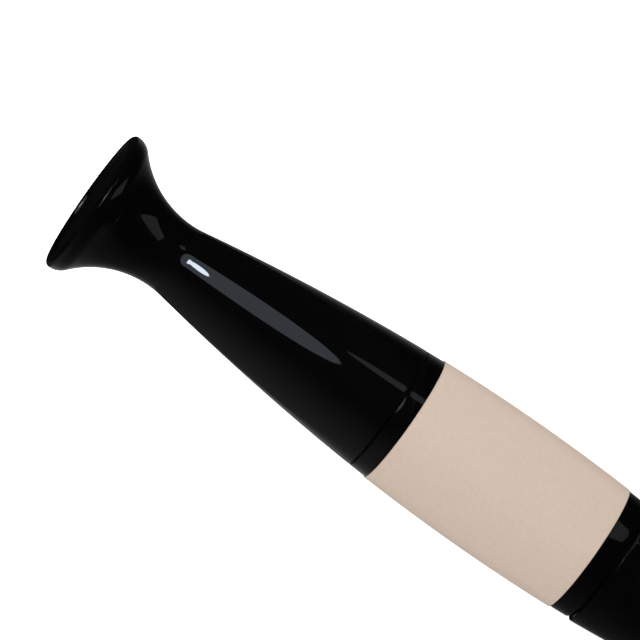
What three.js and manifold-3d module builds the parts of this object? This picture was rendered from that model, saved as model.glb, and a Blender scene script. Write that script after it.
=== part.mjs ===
// A twist-up glue pen, in millimetres, +Z up, standing on its twist base with the flared cap on top.
// The origin is the centre of the base's foot.
import * as THREE from 'three';
import { mergeVertices } from 'three/addons/utils/BufferGeometryUtils.js';
import Module from 'manifold-3d';

const wasm = await Module();
wasm.setup();

// Barrel outline
const BELLY_DIAMETER = 23.7;
const SEAM_DIAMETER = 22.3;
const BARREL_LENGTH = 43.6;
const BARREL_END_WALL = 0.95;
const BARREL_FRONT_BEVEL = 0.25;
const BARREL_REAR_ROUND = 0.5;
const BARREL_LEDGE = 1;

// Label
const LABEL_LENGTH = 36.8;
const LABEL_TOP_MARGIN = 3.2;
const LABEL_THICKNESS = 0.12;
const LABEL_GLUE_LINE = 0.05;
const LABEL_SEAM = 1.2;

// Cap outline: a long taper, a blend into the waist, a flare and a rounded lip
const CAP_LENGTH = 59.2;
const CAP_WALL = 1.3;
const CAP_MOUTH_BEVEL = 0.25;
const TAPER_END_ANGLE = 9.6;
const WAIST_BLEND_RADIUS = 14;
const WAIST_HEIGHT = 43.2;
const WAIST_DIAMETER = 12.1;
const FLARE_DIAMETER = 25.6;
const LIP_RADIUS = 3.3;
const NOSE_RADIUS = 0.95;
const LIP_INNER_BEVEL = 0.3;
const LIP_WALL = 1.9;
const BELL_RISE = 4;

// Dished end of the flare
const DISH_DEPTH = 2.2;
const DISH_THICKNESS = 1.2;
const DISH_RECESS = 0.5;
const DISH_LEDGE = 0.9;

// Cap liner and the seal that closes the nozzle
const LINER_WALL = 0.8;
const LINER_END_WALL = 1;
const SEAT_DEPTH = 3.4;
const SEAT_WALL = 0.9;
const TIP_SEAL_DIAMETER = 3.7;
const TIP_SEAL_THICKNESS = 1.5;

// Twist base outline
const BASE_LENGTH = 20;
const BASE_RIM_DIAMETER = 22.9;
const BASE_RIM_SLOPE = 0.079;
const BASE_RIM_BEVEL = 0.3;
const BASE_FOOT_DIAMETER = 18.4;
const BASE_EDGE_ROUND = 2;
const BASE_WALL = 1.1;
const BASE_FLOOR = 1.6;
const DRIVE_RIBS = 4;
const DRIVE_RIB_WIDTH = 1.4;
const DRIVE_RIB_HEIGHT = 1.2;

// Hub inside the base
const HUB_DIAMETER = 8.8;
const CORE_FLANGE = 1.8;
const HUB_KEY_WIDTH = 1.4;
const HUB_KEY_DEPTH = 0.7;

// Reservoir: spigots at both ends, neck, bore and guide ribs
const REAR_SPIGOT_DEPTH = 6.5;
const REAR_SPIGOT_WALL = 0.7;
const FRONT_SPIGOT_LENGTH = 7;
const FRONT_SPIGOT_WALL = 0.85;
const FRONT_STEP = 0.5;
const SHOULDER_RISE = 1.6;
const SHOULDER_WALL = 1.2;
const NECK_DIAMETER = 8.8;
const NECK_BORE = 6.4;
const NECK_LENGTH = 6.8;
const GUIDE_RIBS = 3;
const GUIDE_RIB_WIDTH = 1.4;
const GUIDE_RIB_HEIGHT = 0.5;

// Nozzle
const NOZZLE_DIAMETER = 12.2;
const NOZZLE_LENGTH = 24.4;
const NOZZLE_CONE_DIAMETER = 9.2;
const NOZZLE_TIP_DIAMETER = 2.3;
const NOZZLE_HOLE = 1.1;
const NOZZLE_HOLE_LENGTH = 3;
const NOZZLE_COLLAR = 0.7;
const NOZZLE_WALL = 1.6;
const FLUTES = 12;
const FLUTE_RADIUS = 0.7;
const FLUTE_STANDOFF = 0.23;
const FLUTE_SIDES = 8;
const GASKET_THICKNESS = 0.8;

// Drive screw
const SCREW_DIAMETER = 5;
const SCREW_CHAMFER = 0.5;
const SCREW_HEX = 4.2;
const SCREW_COLLAR_DIAMETER = 7.2;
const SCREW_COLLAR = 1;
const TAIL_DIAMETER = 3.8;
const TAIL_BELOW_CLIP = 0.6;

// Retaining clip on the screw's tail
const CLIP_DIAMETER = 6.6;
const CLIP_THICKNESS = 0.5;
const CLIP_GROOVE_DEPTH = 0.45;
const CLIP_MOUTH = 2;

// Bulkhead, ratchet and seal behind the reservoir
const BULKHEAD_FLANGE = 1;
const BULKHEAD_PLUG = 1.8;
const BULKHEAD_SKIRT_WALL = 0.9;
const SEAL_SECTION = 1.4;
const RATCHET_HEIGHT = 3;
const RATCHET_WALL = 0.9;
const RATCHET_TEETH = 16;
const TOOTH_DEPTH = 0.6;
const TOOTH_BACK_SWEEP = 1;
const PAWLS = 4;
const PAWL_SWEEP = 62;
const PAWL_THICKNESS = 0.45;
const PAWL_HOOK = 0.25;
const PAWL_HOOK_SWEEP = 9;
const CLICK_RING_WALL = 0.6;
const CLICK_RING_HEIGHT = 1.8;

// Piston and its wiper ring
const PISTON_HEIGHT = 6.5;
const PISTON_CROWN = 1.6;
const PISTON_SKIRT_WALL = 2.2;
const PISTON_NUT_DIAMETER = 9.2;
const PISTON_NOSE_DIAMETER = 13;
const PISTON_NOSE_TOP_DIAMETER = 8.6;
const PISTON_NOSE_RISE = 1.8;
const WIPER_HEIGHT = 3.2;
const WIPER_DEPTH = 1.1;
const WIPER_WAIST = 0.35;
const WIPER_TOP_MARGIN = 0.8;

// Clearances
const TURNING_GROOVE = 0.5;
const CAP_SEAM = 0.2;
const RUN_CLEARANCE = 0.15;
const TURN_CLEARANCE = 0.25;
const FIT_CLEARANCE = 0.15;
const WIPER_CLEARANCE = 0.08;
const GLUE_CLEARANCE = 0.3;
const AXIAL_CLEARANCE = 0.3;

// Facets round the axis, and steps along curved outlines
const OUTER_SIDES = 40;
const INNER_SIDES = 26;
const SMALL_SIDES = 20;
const FLANK_STEPS = 6;
const INNER_STEPS = 4;
const BLEND_STEPS = 3;
const FLARE_STEPS = 7;
const ROUND_STEPS = 4;
const SEAL_STEPS = 8;

// Colours and finishes
const GLOSS_BLACK = { color: 0x0b0b0c, roughness: 0.12, metalness: 0 };
const LABEL_BEIGE = { color: 0xd5c1b1, roughness: 0.55, metalness: 0 };
const NATURAL_PP = { color: 0xd9d9d2, roughness: 0.4, metalness: 0 };
const BLACK_PP = { color: 0x1b1b1d, roughness: 0.45, metalness: 0 };
const WHITE_ACETAL = { color: 0xe9e7e0, roughness: 0.35, metalness: 0 };
const SOFT_GREY = { color: 0x8d8f92, roughness: 0.7, metalness: 0 };
const SPRING_STEEL = { color: 0xb9bcc0, roughness: 0.3, metalness: 1 };
const CLEAR_GLUE = { color: 0xe6dfcf, roughness: 0.1, metalness: 0 };

const radians = THREE.MathUtils.degToRad;

// Places along the pen, from the foot up
const barrelBottom = BASE_LENGTH + TURNING_GROOVE;
const barrelTop = barrelBottom + BARREL_LENGTH;
const capMouth = barrelTop + CAP_SEAM;
const seamRadius = SEAM_DIAMETER / 2;

// A solid of revolution about Z from [radius, height] points, anticlockwise with the radius to the right.
function revolve(profile, sides) {
  const points = profile.map(([radius, height]) => new THREE.Vector2(radius, height));
  if (profile[0][0] > 0) points.push(points[0].clone());
  return new THREE.LatheGeometry(points, sides).rotateX(Math.PI / 2);
}

// Points on an arc in the [radius, height] plane, by angle from the radius axis in degrees.
function arc(centreRadius, centreHeight, radius, from, to, steps) {
  const curve = new THREE.EllipseCurve(
    centreRadius, centreHeight, radius, radius, radians(from), radians(to), to < from);
  return curve.getPoints(steps).map((point) => [point.x, point.y]);
}

// Points [radiusAt(height), height] at even steps from one height to another.
function flank(radiusAt, from, to, steps) {
  return Array.from({ length: steps + 1 }, (_, i) => {
    const height = from + ((to - from) * i) / steps;
    return [radiusAt(height), height];
  });
}

// A straight prism of a flat shape, from one height up to another.
function prism(shape, bottom, top) {
  const geometry = new THREE.ExtrudeGeometry(shape, { depth: top - bottom, bevelEnabled: false });
  return geometry.translate(0, 0, bottom);
}

// A box with its inner and outer faces at two radii along +X, turned about Z by an angle in degrees.
function radialBox(innerRadius, outerRadius, width, bottom, top, angle) {
  return new THREE.BoxGeometry(outerRadius - innerRadius, width, top - bottom)
    .translate((innerRadius + outerRadius) / 2, 0, (bottom + top) / 2)
    .rotateZ(radians(angle));
}

function polygon(radius, sides) {
  return new THREE.Shape(Array.from({ length: sides }, (_, i) => {
    const angle = (2 * Math.PI * i) / sides;
    return new THREE.Vector2(radius * Math.cos(angle), radius * Math.sin(angle));
  }));
}

// Angles of evenly spaced copies round the axis, in degrees.
function spread(count, first = 0) {
  return Array.from({ length: count }, (_, i) => first + (360 * i) / count);
}

function toSolid(geometry) {
  const bare = new THREE.BufferGeometry();
  bare.setAttribute('position', geometry.getAttribute('position'));
  bare.setIndex(geometry.index);
  const merged = mergeVertices(bare, 1e-4);
  return new wasm.Manifold(new wasm.Mesh({
    numProp: 3,
    vertProperties: merged.getAttribute('position').array,
    triVerts: new Uint32Array(merged.index.array),
  }));
}

// One geometry with others joined to it and then others cut from it.
function combine(geometry, joined, cut) {
  let solid = toSolid(geometry);
  for (const tool of joined) solid = solid.add(toSolid(tool));
  for (const tool of cut) solid = solid.subtract(toSolid(tool));
  const mesh = solid.getMesh();
  const result = new THREE.BufferGeometry();
  result.setAttribute('position', new THREE.BufferAttribute(new Float32Array(mesh.vertProperties), 3));
  result.setIndex(new THREE.BufferAttribute(new Uint32Array(mesh.triVerts), 1));
  return result;
}

function piece(name, geometry, finish) {
  geometry.computeVertexNormals();
  const mesh = new THREE.Mesh(geometry, new THREE.MeshStandardMaterial(finish));
  mesh.name = name;
  return mesh;
}

// Barrel: a shallow parabola from seam to seam, fullest half way up.
function barrelRadiusAt(height) {
  const fromMiddle = (2 * (height - barrelBottom)) / BARREL_LENGTH - 1;
  return BELLY_DIAMETER / 2 - ((BELLY_DIAMETER - SEAM_DIAMETER) / 2) * fromMiddle ** 2;
}

// Base: the barrel's line carried on down, narrowing faster towards the foot.
function baseRadiusAt(height) {
  const down = BASE_LENGTH - height;
  const fall = (BASE_RIM_DIAMETER - BASE_FOOT_DIAMETER) / 2 - BASE_RIM_SLOPE * BASE_LENGTH;
  return BASE_RIM_DIAMETER / 2 - BASE_RIM_SLOPE * down - fall * (down / BASE_LENGTH) ** 2;
}

const baseInnerAt = (height) => baseRadiusAt(height) - BASE_WALL;

// Cap: the flare and lip are two arcs tangent to each other, the flare tangent to the axis at the waist.
const waistRadius = WAIST_DIAMETER / 2;
const flareRadius = FLARE_DIAMETER / 2;
const lipHeight = CAP_LENGTH - NOSE_RADIUS;
const flareAngle = 2 * Math.atan((flareRadius - waistRadius) / (lipHeight - WAIST_HEIGHT));
const flareArc = (lipHeight - WAIST_HEIGHT) / Math.sin(flareAngle) - LIP_RADIUS;
const blendHeight = WAIST_HEIGHT - WAIST_BLEND_RADIUS * Math.sin(radians(TAPER_END_ANGLE));
const blendRadius = waistRadius + WAIST_BLEND_RADIUS * (1 - Math.cos(radians(TAPER_END_ANGLE)));
const taperEndSlope = Math.tan(radians(TAPER_END_ANGLE));
const taperMouthSlope = (2 * (seamRadius - blendRadius)) / blendHeight - taperEndSlope;

// Cap radius above its mouth, up to the waist: a parabola, then the blend's arc.
function capRadiusAt(height) {
  if (height <= blendHeight) {
    const bend = (taperEndSlope - taperMouthSlope) / (2 * blendHeight);
    return seamRadius - taperMouthSlope * height - bend * height ** 2;
  }
  const below = Math.max(WAIST_HEIGHT - height, 0);
  return waistRadius + WAIST_BLEND_RADIUS - Math.sqrt(WAIST_BLEND_RADIUS ** 2 - below ** 2);
}

const capInnerAt = (height) => capRadiusAt(height) - CAP_WALL;
const linerOuterAt = (height) => capInnerAt(height) - FIT_CLEARANCE;
const linerInnerAt = (height) => linerOuterAt(height) - LINER_WALL;

// Rear end: reservoir spigot, bulkhead and ratchet inside the base
const rearEnd = BASE_LENGTH - REAR_SPIGOT_DEPTH;
const flangeTop = rearEnd - FIT_CLEARANCE;
const flangeBottom = flangeTop - BULKHEAD_FLANGE;
const plugTop = rearEnd + BULKHEAD_PLUG;
const rearSpigotRadius = baseInnerAt(flangeBottom) - TURN_CLEARANCE;
const boreRadius = rearSpigotRadius - REAR_SPIGOT_WALL;
const ratchetTop = flangeBottom - FIT_CLEARANCE;
const ratchetBottom = ratchetTop - RATCHET_HEIGHT;
const skirtRadius = baseInnerAt(ratchetBottom) - TURN_CLEARANCE;
const ratchetRadius = skirtRadius - BULKHEAD_SKIRT_WALL - FIT_CLEARANCE;
const toothRoot = ratchetRadius - RATCHET_WALL;
const toothTip = toothRoot - TOOTH_DEPTH;
const hubTop = flangeBottom - AXIAL_CLEARANCE;
const hubRadius = HUB_DIAMETER / 2;
const coreBottom = BASE_FLOOR + FIT_CLEARANCE;
const coreFlangeTop = coreBottom + CORE_FLANGE;

// Screw, from its clipped tail up
const screwRadius = SCREW_DIAMETER / 2;
const journalBore = screwRadius + RUN_CLEARANCE;
const sealSeatRadius = screwRadius + SEAL_SECTION + 2 * WIPER_CLEARANCE;
const sealSeatFloor = plugTop - SEAL_SECTION - 2 * WIPER_CLEARANCE;
const tailBottom = coreBottom + AXIAL_CLEARANCE;
const clipBottom = tailBottom + TAIL_BELOW_CLIP;
const clipTop = clipBottom + CLIP_THICKNESS;
const pocketTop = clipTop + FIT_CLEARANCE;
const collarBottom = plugTop + AXIAL_CLEARANCE;
const collarTop = collarBottom + SCREW_COLLAR;

// Front end: shoulder, spigot, neck and nozzle inside the cap
const bodyRadius = seamRadius - BARREL_END_WALL - FIT_CLEARANCE;
const bodyTop = barrelTop - FRONT_STEP;
const frontSpigotTop = barrelTop + FRONT_SPIGOT_LENGTH;
const linerBoreTop = frontSpigotTop - capMouth + AXIAL_CLEARANCE;
const linerBore = linerInnerAt(linerBoreTop);
const frontSpigotRadius = linerBore - RUN_CLEARANCE;
const frontBore = frontSpigotRadius - FRONT_SPIGOT_WALL;
const boreStepTop = barrelTop;
const boreStepBottom = boreStepTop - (boreRadius - frontBore);
const neckRadius = NECK_DIAMETER / 2;
const neckBore = NECK_BORE / 2;
const neckBottom = frontSpigotTop + SHOULDER_RISE;
const neckTop = neckBottom + NECK_LENGTH;
const coneBottom = frontSpigotTop - SHOULDER_WALL;
const coneTop = neckBottom;
const screwTop = boreStepBottom - AXIAL_CLEARANCE;

const nozzleBottom = neckBottom + AXIAL_CLEARANCE;
const nozzleTip = nozzleBottom + NOZZLE_LENGTH;
const gasketBottom = neckTop + RUN_CLEARANCE;
const nozzleSeat = gasketBottom + GASKET_THICKNESS + RUN_CLEARANCE;

// Piston at the bottom of its travel, just above the screw's collar
const pistonBottom = collarTop + AXIAL_CLEARANCE;
const crownTop = pistonBottom + PISTON_HEIGHT;
const noseTop = crownTop + PISTON_NOSE_RISE;
const pistonRadius = boreRadius - RUN_CLEARANCE;
const wiperBottom = crownTop - WIPER_TOP_MARGIN - WIPER_HEIGHT;
const wiperTop = wiperBottom + WIPER_HEIGHT;
const guideRibInner = boreRadius - GUIDE_RIB_HEIGHT;
const guideAngles = spread(GUIDE_RIBS, 90);

// Liner heights above the cap's mouth, set by the nozzle's tip
const tipSealBottom = nozzleTip - capMouth + RUN_CLEARANCE;
const tipSealTop = tipSealBottom + TIP_SEAL_THICKNESS;
const linerEnd = tipSealTop + RUN_CLEARANCE;
const linerTop = linerEnd + LINER_END_WALL;
const cavityTop = linerTop + FIT_CLEARANCE;

function makeBaseShell() {
  const edgeRadius = baseRadiusAt(BASE_EDGE_ROUND);
  const rimRadius = BASE_RIM_DIAMETER / 2;
  const profile = [
    [0, 0],
    ...arc(edgeRadius - BASE_EDGE_ROUND, BASE_EDGE_ROUND, BASE_EDGE_ROUND, -90, 0, ROUND_STEPS),
    ...flank(baseRadiusAt, BASE_EDGE_ROUND, BASE_LENGTH - BASE_RIM_BEVEL, FLANK_STEPS).slice(1),
    [rimRadius - BASE_RIM_BEVEL, BASE_LENGTH],
    ...flank(baseInnerAt, BASE_LENGTH, BASE_FLOOR, INNER_STEPS),
    [0, BASE_FLOOR],
  ];
  const ribInner = baseInnerAt(BASE_FLOOR) - DRIVE_RIB_HEIGHT;
  const ribOuter = baseInnerAt(BASE_FLOOR) + BASE_WALL / 2;
  const ribs = spread(DRIVE_RIBS).map((angle) =>
    radialBox(ribInner, ribOuter, DRIVE_RIB_WIDTH, BASE_FLOOR / 2, coreFlangeTop, angle));
  return combine(revolve(profile, OUTER_SIDES), ribs, []);
}

// The hub's flange is keyed to the shell's ribs, its hex takes the screw and its slots take the click ring.
function makeBaseCore() {
  const flangeRadius = baseInnerAt(coreBottom) - FIT_CLEARANCE;
  const body = revolve([
    [0, coreBottom],
    [flangeRadius, coreBottom],
    [flangeRadius, coreFlangeTop],
    [hubRadius, coreFlangeTop],
    [hubRadius, hubTop],
    [0, hubTop],
  ], INNER_SIDES);
  const past = AXIAL_CLEARANCE;
  const hexRadius = SCREW_HEX / 2 / Math.cos(Math.PI / 6) + FIT_CLEARANCE;
  const hexHole = prism(polygon(hexRadius, 6), coreBottom - past, hubTop + past);
  const pocket = prism(polygon(CLIP_DIAMETER / 2 + FIT_CLEARANCE, SMALL_SIDES), coreBottom - past, pocketTop);
  const slotInner = baseInnerAt(BASE_FLOOR) - DRIVE_RIB_HEIGHT - FIT_CLEARANCE;
  const slots = spread(DRIVE_RIBS).map((angle) => radialBox(
    slotInner, flangeRadius + past, DRIVE_RIB_WIDTH + 2 * FIT_CLEARANCE,
    coreBottom - past, coreFlangeTop + past, angle));
  const keyways = spread(2, 90).map((angle) => radialBox(
    hubRadius - HUB_KEY_DEPTH, hubRadius + past, HUB_KEY_WIDTH,
    ratchetBottom, hubTop + past, angle));
  return combine(body, [], [hexHole, pocket, ...slots, ...keyways]);
}

function makeDriveScrew() {
  const tailRadius = TAIL_DIAMETER / 2;
  const grooveRadius = tailRadius - CLIP_GROOVE_DEPTH;
  const body = revolve([
    [0, tailBottom],
    [tailRadius, tailBottom],
    [tailRadius, clipBottom - FIT_CLEARANCE],
    [grooveRadius, clipBottom - FIT_CLEARANCE],
    [grooveRadius, clipTop + FIT_CLEARANCE],
    [tailRadius, clipTop + FIT_CLEARANCE],
    [tailRadius, hubTop + FIT_CLEARANCE],
    [screwRadius, hubTop + FIT_CLEARANCE],
    [screwRadius, collarBottom],
    [SCREW_COLLAR_DIAMETER / 2, collarBottom],
    [SCREW_COLLAR_DIAMETER / 2, collarTop],
    [screwRadius, collarTop],
    [screwRadius, screwTop - SCREW_CHAMFER],
    [screwRadius - SCREW_CHAMFER, screwTop],
    [0, screwTop],
  ], SMALL_SIDES);
  const hexRadius = SCREW_HEX / 2 / Math.cos(Math.PI / 6);
  const hex = prism(polygon(hexRadius, 6), pocketTop + FIT_CLEARANCE, hubTop + 2 * FIT_CLEARANCE);
  return combine(body, [hex], []);
}

function makeRetainingClip() {
  const inner = TAIL_DIAMETER / 2 - CLIP_GROOVE_DEPTH + FIT_CLEARANCE;
  const outer = CLIP_DIAMETER / 2;
  const ring = revolve([
    [inner, clipBottom],
    [outer, clipBottom],
    [outer, clipTop],
    [inner, clipTop],
  ], SMALL_SIDES);
  const mouth = radialBox(
    0, outer + AXIAL_CLEARANCE, CLIP_MOUTH, clipBottom - AXIAL_CLEARANCE, clipTop + AXIAL_CLEARANCE, 0);
  return combine(ring, [], [mouth]);
}

function makeRearBulkhead() {
  const skirtInner = skirtRadius - BULKHEAD_SKIRT_WALL;
  const plugRadius = boreRadius - FIT_CLEARANCE;
  return revolve([
    [journalBore, flangeBottom],
    [skirtInner, flangeBottom],
    [skirtInner, ratchetBottom],
    [skirtRadius, ratchetBottom],
    [skirtRadius, flangeBottom],
    [rearSpigotRadius, flangeBottom],
    [rearSpigotRadius, flangeTop],
    [plugRadius, flangeTop],
    [plugRadius, plugTop],
    [sealSeatRadius, plugTop],
    [sealSeatRadius, sealSeatFloor],
    [journalBore, sealSeatFloor],
  ], INNER_SIDES);
}

function makeScrewSeal() {
  const middle = (screwRadius + sealSeatRadius) / 2;
  const height = (sealSeatFloor + plugTop) / 2;
  const section = arc(middle, height, SEAL_SECTION / 2, 0, 360, SEAL_STEPS);
  return revolve(section.slice(0, -1), SMALL_SIDES);
}

// Saw teeth on the inside: each rises from its root and drops back to the next root.
function makeRatchetRing() {
  const teeth = spread(RATCHET_TEETH).flatMap((angle) => [
    [toothRoot, angle],
    [toothTip, angle + 360 / RATCHET_TEETH - TOOTH_BACK_SWEEP],
  ]);
  const ring = polygon(ratchetRadius, INNER_SIDES);
  ring.holes.push(new THREE.Path(teeth.map(([radius, angle]) => new THREE.Vector2(
    radius * Math.cos(radians(angle)), radius * Math.sin(radians(angle))))));
  return prism(ring, ratchetBottom, ratchetTop);
}

// A ring keyed to the hub, with trailing pawls drawn sprung in, just clear of the saw teeth.
function makeClickRing() {
  const inner = hubRadius + FIT_CLEARANCE;
  const outer = inner + CLICK_RING_WALL;
  const bottom = (ratchetBottom + ratchetTop - CLICK_RING_HEIGHT) / 2;
  const top = bottom + CLICK_RING_HEIGHT;
  const ring = polygon(outer, INNER_SIDES);
  ring.holes.push(polygon(inner, INNER_SIDES));
  const reach = toothTip - RUN_CLEARANCE;
  const shoulder = reach - PAWL_HOOK;
  const edge = (side) => Array.from({ length: FLANK_STEPS + 1 }, (_, i) => {
    const angle = radians(PAWL_SWEEP * (1 - i / FLANK_STEPS));
    const rootEdge = outer - (side === 'inner' ? PAWL_THICKNESS : 0);
    const tipEdge = shoulder - (side === 'inner' ? PAWL_THICKNESS : 0);
    const radius = rootEdge + ((tipEdge - rootEdge) * i) / FLANK_STEPS;
    return new THREE.Vector2(radius * Math.cos(angle), radius * Math.sin(angle));
  });
  const hook = radians(PAWL_HOOK_SWEEP);
  const outline = [
    ...edge('inner'),
    new THREE.Vector2(reach, 0),
    new THREE.Vector2(shoulder * Math.cos(hook), shoulder * Math.sin(hook)),
    ...edge('outer').slice(0, -1).reverse(),
  ];
  const pawls = spread(PAWLS).map((angle) =>
    prism(new THREE.Shape(outline), bottom, top).rotateZ(radians(angle)));
  const keyWidth = HUB_KEY_WIDTH - 2 * FIT_CLEARANCE;
  const keys = spread(2, 90).map((angle) => radialBox(
    hubRadius - HUB_KEY_DEPTH + FIT_CLEARANCE, (inner + outer) / 2, keyWidth, bottom, top, angle));
  return combine(prism(ring, bottom, top), [...pawls, ...keys], []);
}

// Slots past the guide ribs, for the piston and its wiper.
function guideSlots(bottom, top) {
  return guideAngles.map((angle) => radialBox(
    guideRibInner - RUN_CLEARANCE, boreRadius + RUN_CLEARANCE, GUIDE_RIB_WIDTH + 2 * RUN_CLEARANCE,
    bottom - AXIAL_CLEARANCE, top + AXIAL_CLEARANCE, angle));
}

function makePiston() {
  const nutRadius = PISTON_NUT_DIAMETER / 2;
  const skirtInner = pistonRadius - PISTON_SKIRT_WALL;
  const grooveRadius = pistonRadius - WIPER_DEPTH;
  const crownBottom = crownTop - PISTON_CROWN;
  const body = revolve([
    [journalBore, pistonBottom],
    [nutRadius, pistonBottom],
    [nutRadius, crownBottom],
    [skirtInner, crownBottom],
    [skirtInner, pistonBottom],
    [pistonRadius, pistonBottom],
    [pistonRadius, wiperBottom - RUN_CLEARANCE],
    [grooveRadius, wiperBottom - RUN_CLEARANCE],
    [grooveRadius, wiperTop + RUN_CLEARANCE],
    [pistonRadius, wiperTop + RUN_CLEARANCE],
    [pistonRadius, crownTop],
    [PISTON_NOSE_DIAMETER / 2, crownTop],
    [PISTON_NOSE_TOP_DIAMETER / 2, noseTop],
    [journalBore, noseTop],
  ], INNER_SIDES);
  return combine(body, [], guideSlots(pistonBottom, crownTop));
}

// A ring with a lip at each edge that wipes the bore.
function makePistonSeal() {
  const inner = pistonRadius - WIPER_DEPTH + FIT_CLEARANCE;
  const lip = boreRadius - WIPER_CLEARANCE;
  const third = WIPER_HEIGHT / 3;
  const body = revolve([
    [inner, wiperBottom],
    [lip, wiperBottom],
    [lip - WIPER_WAIST, wiperBottom + third],
    [lip - WIPER_WAIST, wiperTop - third],
    [lip, wiperTop],
    [inner, wiperTop],
  ], INNER_SIDES);
  return combine(body, [], guideSlots(wiperBottom, wiperTop));
}

function makeReservoir() {
  const bodyBottom = barrelBottom + BARREL_LEDGE + FIT_CLEARANCE;
  const body = revolve([
    [boreRadius, rearEnd],
    [rearSpigotRadius, rearEnd],
    [rearSpigotRadius, bodyBottom],
    [bodyRadius, bodyBottom],
    [bodyRadius, bodyTop],
    [frontSpigotRadius, bodyTop],
    [frontSpigotRadius, frontSpigotTop],
    [neckRadius, neckBottom],
    [neckRadius, neckTop],
    [neckBore, neckTop],
    [neckBore, coneTop],
    [frontBore, coneBottom],
    [frontBore, boreStepTop],
    [boreRadius, boreStepBottom],
  ], INNER_SIDES);
  const ribs = guideAngles.map((angle) => radialBox(
    guideRibInner, (boreRadius + rearSpigotRadius) / 2, GUIDE_RIB_WIDTH,
    plugTop + AXIAL_CLEARANCE, boreStepBottom, angle));
  return combine(body, ribs, []);
}

function makeBarrelShell() {
  const bore = seamRadius - BARREL_END_WALL;
  const ledgeRadius = rearSpigotRadius + FIT_CLEARANCE;
  const roundTop = barrelBottom + BARREL_REAR_ROUND;
  const roundRadius = barrelRadiusAt(roundTop);
  return revolve([
    [ledgeRadius, barrelBottom],
    ...arc(roundRadius - BARREL_REAR_ROUND, roundTop, BARREL_REAR_ROUND, -90, 0, ROUND_STEPS),
    ...flank(barrelRadiusAt, roundTop, barrelTop - BARREL_FRONT_BEVEL, FLANK_STEPS).slice(1),
    [seamRadius - BARREL_FRONT_BEVEL, barrelTop],
    [bore, barrelTop],
    [bore, barrelBottom + BARREL_LEDGE],
    [ledgeRadius, barrelBottom + BARREL_LEDGE],
  ], OUTER_SIDES);
}

// A thin wrap that follows the barrel, with its butt seam at the back.
function makeLabel() {
  const top = barrelTop - LABEL_TOP_MARGIN;
  const bottom = top - LABEL_LENGTH;
  const innerAt = (height) => barrelRadiusAt(height) + LABEL_GLUE_LINE;
  const outerAt = (height) => innerAt(height) + LABEL_THICKNESS;
  const wrap = revolve([
    ...flank(outerAt, bottom, top, FLANK_STEPS),
    ...flank(innerAt, top, bottom, FLANK_STEPS),
  ], OUTER_SIDES);
  const seam = radialBox(
    0, BELLY_DIAMETER, LABEL_SEAM, bottom - AXIAL_CLEARANCE, top + AXIAL_CLEARANCE, 90);
  return combine(wrap, [], [seam]);
}

function makeNozzle() {
  const outer = NOZZLE_DIAMETER / 2;
  const cone = NOZZLE_CONE_DIAMETER / 2;
  const bore = neckRadius + RUN_CLEARANCE;
  const hole = NOZZLE_HOLE / 2;
  const collarTopHeight = nozzleSeat + NOZZLE_COLLAR;
  const coneStart = collarTopHeight + (outer - cone);
  const body = revolve([
    [bore, nozzleBottom],
    [outer, nozzleBottom],
    [outer, collarTopHeight],
    [cone, coneStart],
    [NOZZLE_TIP_DIAMETER / 2, nozzleTip],
    [hole, nozzleTip],
    [hole, nozzleTip - NOZZLE_HOLE_LENGTH],
    [cone - NOZZLE_WALL, coneStart],
    [cone - NOZZLE_WALL, nozzleSeat],
    [bore, nozzleSeat],
  ], INNER_SIDES);
  const flutes = spread(FLUTES).map((angle) =>
    prism(polygon(FLUTE_RADIUS, FLUTE_SIDES), nozzleBottom - AXIAL_CLEARANCE, nozzleSeat)
      .translate(outer + FLUTE_STANDOFF, 0, 0)
      .rotateZ(radians(angle)));
  return combine(body, [], flutes);
}

function makeNozzleGasket() {
  const inner = neckBore + FIT_CLEARANCE;
  const outer = neckRadius - FIT_CLEARANCE;
  const top = gasketBottom + GASKET_THICKNESS;
  return revolve([
    [inner, gasketBottom],
    [outer, gasketBottom],
    [outer, top],
    [inner, top],
  ], SMALL_SIDES);
}

// The glue fills the reservoir from the piston's nose to the neck, round the screw.
function makeGlueCharge() {
  const round = screwRadius + GLUE_CLEARANCE;
  const wall = guideRibInner - GLUE_CLEARANCE;
  const noseOuter = PISTON_NOSE_DIAMETER / 2 + GLUE_CLEARANCE;
  const noseInner = PISTON_NOSE_TOP_DIAMETER / 2 + GLUE_CLEARANCE;
  return revolve([
    [0, screwTop + GLUE_CLEARANCE],
    [round, screwTop + GLUE_CLEARANCE],
    [round, noseTop + GLUE_CLEARANCE],
    [noseInner, noseTop + GLUE_CLEARANCE],
    [noseOuter, crownTop + GLUE_CLEARANCE],
    [wall, crownTop + GLUE_CLEARANCE],
    [wall, boreStepBottom - GLUE_CLEARANCE],
    [frontBore - GLUE_CLEARANCE, boreStepTop],
    [frontBore - GLUE_CLEARANCE, coneBottom],
    [neckBore - GLUE_CLEARANCE, coneTop - GLUE_CLEARANCE],
    [neckBore - GLUE_CLEARANCE, neckTop],
    [0, neckTop],
  ], INNER_SIDES);
}

// Cap pieces are measured from the cap's mouth, which is its group's origin.
const dishEdge = flareRadius - LIP_WALL;
const dishRim = CAP_LENGTH - DISH_RECESS;
const dishSeat = dishRim - DISH_THICKNESS - FIT_CLEARANCE;

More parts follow.
